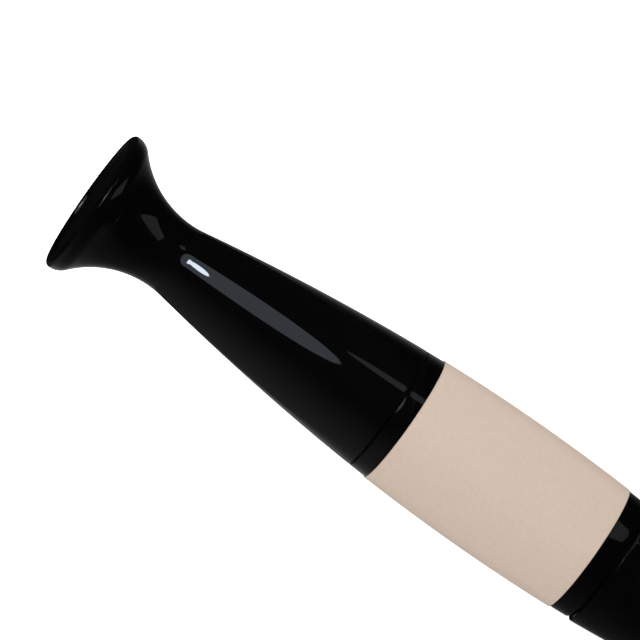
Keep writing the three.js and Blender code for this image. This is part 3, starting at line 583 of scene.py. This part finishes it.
class GLUEPEN_OT_cap_liner(bpy.types.Operator):
    """Makes the cap's liner: a tapering cup with a straight bore and a tube for the tip seal"""

    bl_idname = "gluepen.cap_liner"
    bl_label = "Cap liner"

    def execute(self, context):
        size = context.scene.glue_pen_cap
        lead_in_height, lead_in_width = 0.5 * MM, 0.35 * MM
        end = SEAL_SEAT - CAP_MOUTH + FIT
        crown = LINER_TOP - CAP_MOUTH
        mouth = RUN
        seat_end = end - size.seat_depth
        seat_outer = size.seat_bore + size.seat_wall
        inside = size.wall + FIT + size.liner_wall
        bore = float(cap_radius(size, np.array(size.liner_bore_height))) - inside
        taper = np.linspace(end, size.liner_bore_height, 20)
        outer = np.linspace(mouth, crown, 24)
        outer_round = np.where(np.isin(outer, [mouth, crown]), THIN, 0)
        rows = np.vstack([
            line(0, end),
            line(size.seat_bore, end, FINE),
            line(size.seat_bore, seat_end, SOFT),
            line(seat_outer, seat_end, SOFT),
            line(seat_outer, end, FULL),
            line(cap_radius(size, taper) - inside, taper, np.where(taper == end, FULL, 0)),
            line(bore, mouth + lead_in_height, SOFT),
            line(bore + lead_in_width, mouth, HAIR),
            line(cap_radius(size, outer) - size.wall - FIT, outer, outer_round),
            line(0, crown),
        ])
        rows[:, 1] += CAP_MOUTH
        dress(context, revolve("cap_liner_cup", rows, sides=128), natural_pp,
              "cap", "natural_polypropylene", "cap_liner")
        return {"FINISHED"}


def barrel_radius(context, height):
    """Radius of the barrel: a parabola, r = belly/2 - sag u^2, with u from -1 at its lower end to 1 at
    its upper end."""
    belly = context.scene.glue_pen_barrel.belly_diameter
    sag = (belly - context.scene.glue_pen_cap.seam_diameter) / 2
    across = (2 * height - BARREL_TOP - BARREL_BOTTOM) / (BARREL_TOP - BARREL_BOTTOM)
    return belly / 2 - sag * across ** 2


class GLUEPEN_OT_barrel(bpy.types.Operator):
    """Makes the barrel: a bellied tube with a rounded lower edge and a ledge inside"""

    bl_idname = "gluepen.barrel"
    bl_label = "Barrel"

    def execute(self, context):
        size = context.scene.glue_pen_barrel
        bore = context.scene.glue_pen_cap.seam_diameter / 2 - size.end_wall
        ledge_top = BARREL_BOTTOM + size.ledge
        outer = np.linspace(BARREL_BOTTOM, BARREL_TOP, 44)
        outer_round = np.where(outer == BARREL_BOTTOM, size.rear_round, 0)
        outer_round = np.where(outer == BARREL_TOP, size.front_round, outer_round)
        rows = np.vstack([
            line(size.ledge_radius, BARREL_BOTTOM, EDGE),
            line(barrel_radius(context, outer), outer, outer_round),
            line(bore, BARREL_TOP, EDGE),
            line(bore, ledge_top, FINE),
            line(size.ledge_radius, ledge_top, FINE),
        ])
        dress(context, revolve("barrel_skin", rows, sides=192), gloss_abs,
              "barrel", "gloss_black_plastic", "barrel_shell")
        return {"FINISHED"}


class GLUEPEN_OT_label(bpy.types.Operator):
    """Makes the label: a thin film on the barrel's own curve, with its butt seam at the back"""

    bl_idname = "gluepen.label"
    bl_label = "Label"

    def execute(self, context):
        size = context.scene.glue_pen_barrel
        height = np.linspace(LABEL_BOTTOM, LABEL_TOP, 40)
        inside = barrel_radius(context, height) + size.label_gap
        cut_round = np.where(np.isin(height, height[[0, -1]]), HAIR, 0)
        rows = np.vstack([
            line(inside + size.label_thickness, height, cut_round),
            line(inside, height)[::-1],
        ])
        half_seam = size.label_seam / size.belly_diameter
        film = revolve("label_wrap", rows, sides=190, start=np.pi / 2 + half_seam,
                       sweep=2 * (np.pi - half_seam))
        dress(context, film, label_film, "barrel", "label_film", "label")
        return {"FINISHED"}


class GLUEPEN_OT_base(bpy.types.Operator):
    """Makes the twist base: a cup whose side is r = r0 - s d - c d^2 at d below its rim"""

    bl_idname = "gluepen.base"
    bl_label = "Twist base"

    def execute(self, context):
        size = context.scene.glue_pen_base
        rib_step = 0.05 * MM
        fall = (size.rim_diameter - size.foot_diameter) / 2 - size.rim_slope * BASE_TOP

        def side(height):
            down = BASE_TOP - height
            return size.rim_diameter / 2 - size.rim_slope * down - fall * (down / BASE_TOP) ** 2

        edge = float(side(size.foot_round)) - size.foot_round
        foot = np.linspace(-np.pi / 2, 0, 16)
        outer = np.linspace(size.foot_round, BASE_TOP, 30)[1:]
        rib_rows = [size.rib_top + rib_step, size.rib_top, size.floor + 2 * TOUCH, size.floor]
        inner = np.concatenate([np.linspace(BASE_TOP, size.rib_top + 2 * rib_step, 24), rib_rows])
        rows = np.vstack([
            line(0, 0),
            line(edge + size.foot_round * np.cos(foot), size.foot_round * (1 + np.sin(foot))),
            line(side(outer), outer, np.where(outer == BASE_TOP, size.rim_round, 0)),
            line(side(inner) - size.wall, inner, np.where(inner == BASE_TOP, SOFT, 0)),
            line(0, size.floor),
        ])

        def drive_ribs(turn, radius, height):
            inside = np.abs(radius - (side(height) - size.wall)) < 2 * TOUCH
            along = (height <= size.rib_top + TOUCH) & (height > size.floor - TOUCH)
            share = rib_share(turn, size.ribs, 0, size.rib_width / 2 / radius)
            return -size.rib_height * share * inside * along

        dress(context, revolve("base_skin", rows, sides=192, ripple=drive_ribs), gloss_abs,
              "base", "gloss_black_plastic", "base_shell")
        return {"FINISHED"}


class GLUEPEN_OT_reservoir(bpy.types.Operator):
    """Makes the reservoir: a stepped tube with two spigots, a neck, guide ribs and a snap bead"""

    bl_idname = "gluepen.reservoir"
    bl_label = "Reservoir"

    def execute(self, context):
        size = context.scene.glue_pen_works
        cap = context.scene.glue_pen_cap
        bead_drop, bead_half, roof = 2.2 * MM, 0.5 * MM, 1.2 * MM
        shoulder_round, neck_round, rib_step = 0.5 * MM, 0.6 * MM, 0.05 * MM
        body_bottom = BARREL_BOTTOM + context.scene.glue_pen_barrel.ledge + FIT
        body_top = BARREL_TOP - size.front_step
        spigot_top = BARREL_TOP + size.front_spigot_length
        liner_inside = cap.wall + 2 * FIT + cap.liner_wall
        spigot = float(cap_radius(cap, np.array(cap.liner_bore_height))) - liner_inside
        front_bore = spigot - size.front_spigot_wall
        neck_bottom = NECK_TOP - size.neck_length
        step_bottom = BARREL_TOP - (size.bore_radius - front_bore)
        rib_bottom = BULKHEAD_TOP + RUN
        rib_top = step_bottom - FINE
        along_bead = np.linspace(-1, 1, 13)
        rib_rows = [rib_top, rib_top - rib_step, rib_bottom + rib_step, rib_bottom]
        rows = np.vstack([
            line(size.bore_radius, RESERVOIR_BOTTOM, FINE),
            line(size.rear_spigot_radius, RESERVOIR_BOTTOM, FINE),
            line(size.rear_spigot_radius, body_bottom, FINE),
            line(size.body_radius, body_bottom, EDGE),
            line(size.body_radius, body_top, SOFT),
            line(spigot, body_top, EDGE),
            line(spigot + size.snap_bead * (1 - along_bead ** 2),
                 spigot_top - bead_drop + bead_half * along_bead),
            line(spigot, spigot_top, shoulder_round),
            line(size.neck_radius, neck_bottom, neck_round),
            line(size.neck_radius, NECK_TOP, SOFT),
            line(size.neck_bore, NECK_TOP, SOFT),
            line(size.neck_bore, neck_bottom, FULL),
            line(front_bore, spigot_top - roof, FULL),
            line(front_bore, BARREL_TOP, FINE),
            line(size.bore_radius, step_bottom, HAIR),
            line(size.bore_radius, rib_rows),
        ])

        def guide_ribs(turn, radius, height):
            bore = np.abs(radius - size.bore_radius) < TOUCH
            along = (height > rib_bottom + rib_step / 2) & (height < rib_top - rib_step / 2)
            share = rib_share(turn, size.guide_ribs, np.pi / 2, size.guide_rib_width / 2 / radius)
            return -size.guide_rib_height * share * bore * along

        dress(context, revolve("reservoir_tube", rows, sides=180, ripple=guide_ribs), satin_pp,
              "barrel", "black_polypropylene", "reservoir")
        return {"FINISHED"}


class GLUEPEN_OT_nozzle(bpy.types.Operator):
    """Makes the nozzle: a fluted skirt, r = R - depth max(0, cos n v)^2, under a cone with a fine hole"""

    bl_idname = "gluepen.nozzle"
    bl_label = "Nozzle"

    def execute(self, context):
        size = context.scene.glue_pen_works
        gasket_room, collar_height, hole_length = 1.1 * MM, 0.7 * MM, 3 * MM
        foot_round, collar_round, cone_round = 0.25 * MM, 0.35 * MM, 1.2 * MM
        flute_start, flute_run_out = 0.4 * MM, 0.5 * MM
        foot_radius, tip_radius = size.nozzle_cone_radius, size.nozzle_tip_radius
        bore = size.neck_radius + FIT
        seat = NECK_TOP + gasket_room
        collar_top = seat + collar_height
        cone_start = collar_top + size.nozzle_radius - foot_radius
        inner_cone = foot_radius - size.nozzle_wall
        skirt = np.linspace(NOZZLE_BOTTOM + flute_start, seat + SOFT, 30)
        cone = np.linspace(0, 1, 20)[1:-1]
        rows = np.vstack([
            line(bore, NOZZLE_BOTTOM, EDGE),
            line(size.nozzle_radius, NOZZLE_BOTTOM, foot_round),
            line(size.nozzle_radius, skirt),
            line(size.nozzle_radius, collar_top, collar_round),
            line(foot_radius, cone_start, cone_round),
            line(foot_radius + (tip_radius - foot_radius) * cone,
                 cone_start + (NOZZLE_TIP - cone_start) * cone),
            line(tip_radius, NOZZLE_TIP, FULL),
            line(size.nozzle_hole_radius, NOZZLE_TIP, FINE),
            line(size.nozzle_hole_radius, NOZZLE_TIP - hole_length, FINE),
            line(inner_cone, cone_start, SOFT),
            line(inner_cone, seat, FINE),
            line(bore, seat, FINE),
        ])

        def flutes(turn, radius, height):
            from_end = np.minimum(height - skirt[0], skirt[-1] - height)
            share = (np.abs(radius - size.nozzle_radius) < TOUCH) * np.clip(from_end / flute_run_out, 0, 1)
            return -size.flute_depth * share * np.maximum(0, np.cos(size.flutes * turn)) ** 2

        dress(context, revolve("nozzle_cone", rows, sides=192, ripple=flutes), satin_pp,
              "barrel", "black_polypropylene", "nozzle")
        return {"FINISHED"}


class GLUEPEN_OT_screw(bpy.types.Operator):
    """Makes the drive screw: a shaft whose left-hand thread dips by a rounded wave of z + lead v / 2 pi"""

    bl_idname = "gluepen.screw"
    bl_label = "Drive screw"

    def execute(self, context):
        size = context.scene.glue_pen_works
        stem = size.screw_radius
        tail, groove, hex_flat, collar = 1.9 * MM, 1.45 * MM, 2.1 * MM, 3.6 * MM
        collar_height, shaft_start, tip_chamfer, run_out = 1 * MM, 0.4 * MM, 0.5 * MM, 1.5 * MM
        groove_round, steepness, crest = 0.03 * MM, 1.6, 0.3
        groove_bottom, groove_top = CLIP_BOTTOM - FIT, CLIP_TOP + FIT
        hex_bottom, hex_top = CLIP_TOP + 2 * FIT, HUB_TOP + FINE
        collar_bottom = BULKHEAD_TOP + RUN
        collar_top = collar_bottom + collar_height
        shaft = np.linspace(collar_top + shaft_start, SCREW_TOP - tip_chamfer, 300)
        rows = np.vstack([
            line(0, SCREW_BOTTOM),
            line(tail, SCREW_BOTTOM, EDGE),
            line(tail, groove_bottom, groove_round),
            line(groove, groove_bottom),
            line(groove, groove_top),
            line(tail, groove_top, groove_round),
            line(tail, hex_bottom),
            line(hex_flat, [hex_bottom + 2 * TOUCH, hex_top - 2 * TOUCH]),
            line(tail, hex_top),
            line(tail, HUB_TOP + FIT),
            line(stem, HUB_TOP + FIT, HAIR),
            line(stem, collar_bottom),
            line(collar, collar_bottom, FINE),
            line(collar, collar_top, FINE),
            line(stem, collar_top, FINE),
            line(stem, shaft),
            line(stem - tip_chamfer, SCREW_TOP, FINE),
            line(0, SCREW_TOP),
        ])

        def thread(turn, radius, height):
            """The thread's dips on the shaft, with flat crests, and the corners of the hexagon."""
            pitch = size.screw_lead / size.screw_starts
            turns = (height + size.screw_lead * turn / (2 * np.pi)) / pitch
            dip = np.clip(steepness * (0.5 - 0.5 * np.cos(2 * np.pi * turns)) - crest, 0, 1)
            from_end = np.minimum(height - shaft[0], shaft[-1] - height)
            on_shaft = (np.abs(radius - stem) < TOUCH) * np.clip(from_end / run_out, 0, 1)
            sixth = (turn + np.pi / 6) % (np.pi / 3) - np.pi / 6
            corner = hex_flat * (1 / np.cos(np.pi / 6 - np.abs(sixth)) - 1)
            on_hex = (np.abs(radius - hex_flat) < TOUCH) & (height > hex_bottom) & (height < hex_top)
            return -size.thread_depth * dip * on_shaft + on_hex * corner

        dress(context, revolve("drive_screw_thread", rows, sides=72, ripple=thread), white_acetal,
              "base", "white_acetal", "drive_screw")
        return {"FINISHED"}


class GLUEPEN_OT_glue(bpy.types.Operator):
    """Makes the glue: a column round the screw, with a mesh of its own; in the pen the column gets shorter
    as the piston rises
    """

    bl_idname = "gluepen.glue"
    bl_label = "Glue"

    def execute(self, context):
        size = context.scene.glue_pen_works
        headroom, sag, foot_round = 1.5 * MM, 0.6 * MM, 0.4 * MM
        low = PISTON_TOP + RUN
        high = BARREL_TOP + size.front_spigot_length - headroom
        hole = size.screw_radius + RUN
        across = np.linspace(size.glue_radius, 0, 24)
        rows = np.vstack([
            line(0, SCREW_TOP + RUN),
            line(hole, SCREW_TOP + RUN),
            line(hole, low, FULL),
            line(size.glue_radius, low, foot_round),
            line(across, high - sag * (1 - (across / size.glue_radius) ** 2)),
        ])
        column = dress(context, revolve("glue_column", rows, sides=96), thick_glue,
                       "barrel", "glue", "glue_charge")
        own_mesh(column)
        return {"FINISHED"}


class GLUEPEN_OT_works(bpy.types.Operator):
    """Finishes the hidden works, which keep their CAD shapes"""

    bl_idname = "gluepen.works"
    bl_label = "Hidden works"

    def execute(self, context):
        finishes = {
            white_acetal: ("base_core", "click_ring", "ratchet_ring"),
            natural_pp: ("rear_bulkhead", "piston"),
            seal_rubber: ("screw_seal", "nozzle_gasket", "piston_seal", "tip_seal"),
            spring_steel: ("retaining_clip",),
        }
        for make, names in finishes.items():
            for name in names:
                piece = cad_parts[name]
                piece.data.materials.clear()
                piece.data.materials.append(make(context.scene.glue_pen_finish))
        return {"FINISHED"}


PLAIN_WHITE = "#FFFFFF"
COOL_WHITE = "#E6F1FF"

# Radiance of the panels round the pen, by azimuth in degrees
PANELS = {0: 2.8, 60: 3.0, 120: 2.8, 180: 2.8, 240: 2.6, 300: 2.6}

# Name, azimuth and elevation in degrees, distance, width, height, radiance, colour, and whether gloss
# shows the lamp
LAMPS = (
    *((f"panel_{at}", at, 38, 1.6, 1.0, 1.0, radiance, PLAIN_WHITE, False)
      for at, radiance in PANELS.items()),
    ("front_softbox", 17, 14, 1.2, 0.83, 0.36, 1.0, COOL_WHITE, True),
    ("front_spot", 16.5, 14.75, 1.19, 0.28, 0.030, 22.0, COOL_WHITE, True),
    ("side_strip", 42, 1.0, 0.9, 0.17, 0.13, 0.4, PLAIN_WHITE, True),
)
ROOM_LIGHT = 0.01

# The white floor: its reach, and its own light near the pen and far from it, for eyes and gloss
FLOOR_REACH = 60.0
FLOOR_NEAR, FLOOR_FAR = 0.15, 0.5
NEAR_LIGHT, FAR_LIGHT = 0.25, 1.0
FIBRE_SIZE = 1.5 * MM

# The dim sheets glow though they are no lamps, only gloss sees them, and they paint reflections on the pen:
# their places, and how much of their glow is left near the pen
SHEET_LIFT = 0.3 * MM
SHEET_NEAR, SHEET_FAR, SHEET_NEAR_SHARE = 0.1, 0.6, 0.4
SCREEN_FROM, SCREEN_TO = math.radians(-190), math.radians(-10)
SCREEN_RADIUS, SCREEN_HEIGHT, SCREEN_LIFT = 2.0, 0.7, 0.4 * MM
CARD = (58 * MM, 140 * MM, -200 * MM, -45 * MM, 0.6 * MM)

# Azimuth in degrees, strength and power of the painted reflection that a dim glowing sheet shows in the
# gloss
FLOOR_REFLECTION_LOBES = ((180, 0.36, 5.5), (-115, 0.125, 2.0))
LEFT_REFLECTION_LOBES = ((-100, 0.125, 2.0),)
CARD_REFLECTION_LOBES = ((45, 0.75, 0.5),)

SENSOR_WIDTH = 36
CAMERA_REACH = 200


class GLUEPEN_OT_studio(bpy.types.Operator):
    """Sets the studio: a white floor, soft lamps all round, dim glowing sheets that paint reflections in
    the gloss, and the camera
    """

    bl_idname = "gluepen.studio"
    bl_label = "Studio"

    def execute(self, context):
        scene = context.scene
        scene.view_settings.view_transform = "Standard"
        self.floor()
        self.sheets()
        self.lamps()
        self.world(scene)
        self.camera(scene)
        return {"FINISHED"}

    def stage(self, name, points, faces, material):
        """A mesh of the studio, which isn't part of the pen."""
        made = mesh_object(name, points, faces)
        made.data.materials.append(material)
        return made

    def rectangle(self, left, right, front, back, lift):
        """Corners of a level rectangle."""
        level = ((left, front), (right, front), (right, back), (left, back))
        return np.array([(*corner, lift) for corner in level])

    def distance_ramp(self, tree, place, *span):
        """A smooth change with the distance from the pen. Its span is near, far, and the value at each."""
        away = node(tree, "VectorMath", [place], operation="LENGTH")
        return node(tree, "MapRange", [away.outputs["Value"], *span], interpolation_type="SMOOTHSTEP")

    def floor(self):
        """A flat white floor, which lamps light and shadows darken near the pen. What looks straight at
        it, or sees it in gloss or through glass, finds it white further off."""
        material, tree = blank_material("white_paper_sweep")
        place = node(tree, "TexCoord").outputs["Object"]
        own = self.distance_ramp(tree, place, FLOOR_NEAR, FLOOR_FAR, NEAR_LIGHT, FAR_LIGHT)
        path = node(tree, "LightPath").outputs
        seen = node(tree, "Math", [path["Is Camera Ray"], path["Is Glossy Ray"]], operation="MAXIMUM")
        shown = node(tree, "Math", [seen, path["Is Transmission Ray"]], operation="MAXIMUM")
        glow = node(tree, "Math", [own, shown], operation="MULTIPLY")
        fibre = node(tree, "TexNoise", {"Vector": place, "Scale": 1 / FIBRE_SIZE, "Detail": 2.0})
        white = node(tree, "Mix", {0: fibre, 6: linear("#E6E6E6"), 7: linear("#E9E9E9")}, data_type="RGBA")
        paper = node(tree, "BsdfDiffuse", {"Color": white.outputs[2]})
        light = node(tree, "Emission", {"Color": linear(PLAIN_WHITE), "Strength": glow})
        both = node(tree, "AddShader", [paper, light])
        node(tree, "OutputMaterial", [both])
        corners = self.rectangle(-FLOOR_REACH, FLOOR_REACH, -FLOOR_REACH, FLOOR_REACH, 0)
        self.stage("floor", corners, [[0, 1, 2, 3]], material)

    def sheets(self):
        """Dim sheets that glow though they are no lamps and that only gloss sees, which paint reflections
        on the pen:
        a wide one over the floor, brighter behind the pen and on its left, a low curved screen on the left,
        and a small card on the floor at the front right."""
        turn = np.linspace(0, 2 * np.pi, 64, endpoint=False)
        rim = np.column_stack([np.cos(turn), np.sin(turn), 0 * turn]) * FLOOR_REACH + (0, 0, SHEET_LIFT)
        # Painted reflection: a glowing sheet over the whole floor that hides the white floor from the gloss
        # and shows dim lobes in its place
        self.sheet("floor_sheet", rim, [list(range(len(rim)))], FLOOR_REFLECTION_LOBES)
        arc = np.linspace(SCREEN_FROM, SCREEN_TO, 61)
        foot = np.column_stack([np.sin(arc), -np.cos(arc), 0 * arc]) * SCREEN_RADIUS + (0, 0, SCREEN_LIFT)
        index = np.arange(len(arc) - 1)
        quads = np.column_stack([index, index + 1, index + 1 + len(arc), index + len(arc)])
        screen = np.vstack([foot, foot + (0, 0, SCREEN_HEIGHT)])
        # Painted reflection: a glowing curved screen on the left, seen only in the gloss
        self.sheet("left_screen", screen, quads.tolist(), LEFT_REFLECTION_LOBES)
        # Painted reflection: a small glowing card at the front right, seen only in the gloss
        self.sheet("floor_card", self.rectangle(*CARD), [[0, 1, 2, 3]], CARD_REFLECTION_LOBES)

    def sheet(self, name, points, faces, lobes):
        """A sheet that only gloss sees and that glows though it is no lamp, so that it paints a reflection
        on the pen.
        At azimuth a it glows by the sum over its lobes of strength x max(0, cos(a - azimuth))^power, and
        less near the pen."""
        material, tree = blank_material(name + "_paper")
        place = node(tree, "TexCoord").outputs["Object"]
        level = node(tree, "VectorMath", [place, (1, 1, 0)], operation="MULTIPLY")
        aim = node(tree, "VectorMath", [level], operation="NORMALIZE")
        glow = 0.0
        for azimuth, strength, power in lobes:
            side = (math.sin(math.radians(azimuth)), -math.cos(math.radians(azimuth)), 0)
            facing = node(tree, "VectorMath", [aim, side], operation="DOT_PRODUCT")
            share = node(tree, "Math", [facing.outputs["Value"], 0.0], operation="MAXIMUM")
            bent = node(tree, "Math", [share, power], operation="POWER")
            glow = node(tree, "Math", [bent, strength, glow], operation="MULTIPLY_ADD")
        left = self.distance_ramp(tree, place, SHEET_NEAR, SHEET_FAR, SHEET_NEAR_SHARE, 1.0)
        level_glow = node(tree, "Math", [left, glow], operation="MULTIPLY")
        # Painted reflection: white emission that only glossy rays see
        light = node(tree, "Emission", {"Color": linear(PLAIN_WHITE), "Strength": level_glow})
        node(tree, "OutputMaterial", [light])
        sheet = self.stage(name, points, faces, material)
        for ray in ("camera", "diffuse", "transmission", "shadow"):
            setattr(sheet, "visible_" + ray, False)

    def lamps(self):
        """Soft lamps, each aimed at the pen's middle, oval where gloss shows them. Power is radiance x
        area x pi."""
        middle = Vector((0, 0, (cad_low.z + cad_high.z) / 2))
        for name, azimuth, elevation, distance, width, height, radiance, tint, in_gloss in LAMPS:
            lamp = bpy.data.lights.new(name, "AREA")
            lamp.shape = "ELLIPSE" if in_gloss else "RECTANGLE"
            lamp.size, lamp.size_y = width, height
            lamp.color = linear(tint)[:3]
            lamp.energy = radiance * width * height * math.pi * (math.pi / 4 if in_gloss else 1)
            turn, rise = math.radians(azimuth), math.radians(elevation)
            level = math.cos(rise)
            towards = Vector((math.sin(turn) * level, -math.cos(turn) * level, math.sin(rise)))
            made = add_object(name, lamp)
            made.location = middle + distance * towards
            made.rotation_euler = (-towards).to_track_quat("-Z", "Y").to_euler()
            made.visible_camera = False
            made.visible_glossy = in_gloss

    def world(self, scene):
        """A dim, even room."""
        world = bpy.data.worlds.new("dim_room")
        world.use_nodes = True
        room = world.node_tree.nodes["Background"].inputs
        room["Color"].default_value = linear(PLAIN_WHITE)
        room["Strength"].default_value = ROOM_LIGHT
        scene.world = world

    def camera(self, scene):
        """A long lens in front of the pen, a little above it, rolled so that the pen leans to the left."""
        studio = scene.glue_pen_studio
        rise, roll = studio.elevation, studio.roll
        across = Vector((1, 0, 0))
        upright = Vector((0, math.sin(rise), math.cos(rise)))
        back = Vector((0, -math.cos(rise), math.sin(rise)))
        right = math.cos(roll) * across - math.sin(roll) * upright
        up = math.sin(roll) * across + math.cos(roll) * upright
        lens = bpy.data.cameras.new("camera")
        lens.sensor_width = SENSOR_WIDTH
        lens.lens = SENSOR_WIDTH * studio.distance / studio.frame_width
        lens.clip_end = CAMERA_REACH
        camera = add_object("camera", lens)
        place = Vector((studio.aim_side, 0, studio.aim_height)) + studio.distance * back
        turned = Matrix((right, up, back)).transposed().to_4x4()
        camera.matrix_world = Matrix.Translation(place) @ turned
        scene.camera = camera


OPERATORS = (
    GLUEPEN_OT_cap, GLUEPEN_OT_cap_end, GLUEPEN_OT_cap_liner, GLUEPEN_OT_barrel, GLUEPEN_OT_label,
    GLUEPEN_OT_base, GLUEPEN_OT_reservoir, GLUEPEN_OT_nozzle, GLUEPEN_OT_screw, GLUEPEN_OT_glue,
    GLUEPEN_OT_works, GLUEPEN_OT_studio,
)


class GLUEPEN_PT_panel(bpy.types.Panel):
    """Lists the pen's pieces, sizes and colours"""

    bl_idname = "GLUEPEN_PT_panel"
    bl_label = "Glue pen"
    bl_space_type = "VIEW_3D"
    bl_region_type = "UI"
    bl_category = "Glue pen"

    def draw(self, context):
        for operator in OPERATORS:
            self.layout.operator(operator.bl_idname)
        for name, group in GROUPS.items():
            box = self.layout.box()
            for key in group.__annotations__:
                box.prop(getattr(context.scene, name), key)


CLASSES = (*GROUPS.values(), *OPERATORS, GLUEPEN_PT_panel)


def register():
    for made in CLASSES:
        bpy.utils.register_class(made)
    for name, group in GROUPS.items():
        setattr(bpy.types.Scene, name, PointerProperty(type=group))


def unregister():
    for name in GROUPS:
        delattr(bpy.types.Scene, name)
    for made in reversed(CLASSES):
        bpy.utils.unregister_class(made)


def main():
    register()
    for operator in OPERATORS:
        group, name = operator.bl_idname.split(".")
        getattr(getattr(bpy.ops, group), name)()
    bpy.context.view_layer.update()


if __name__ == "__main__":
    main()
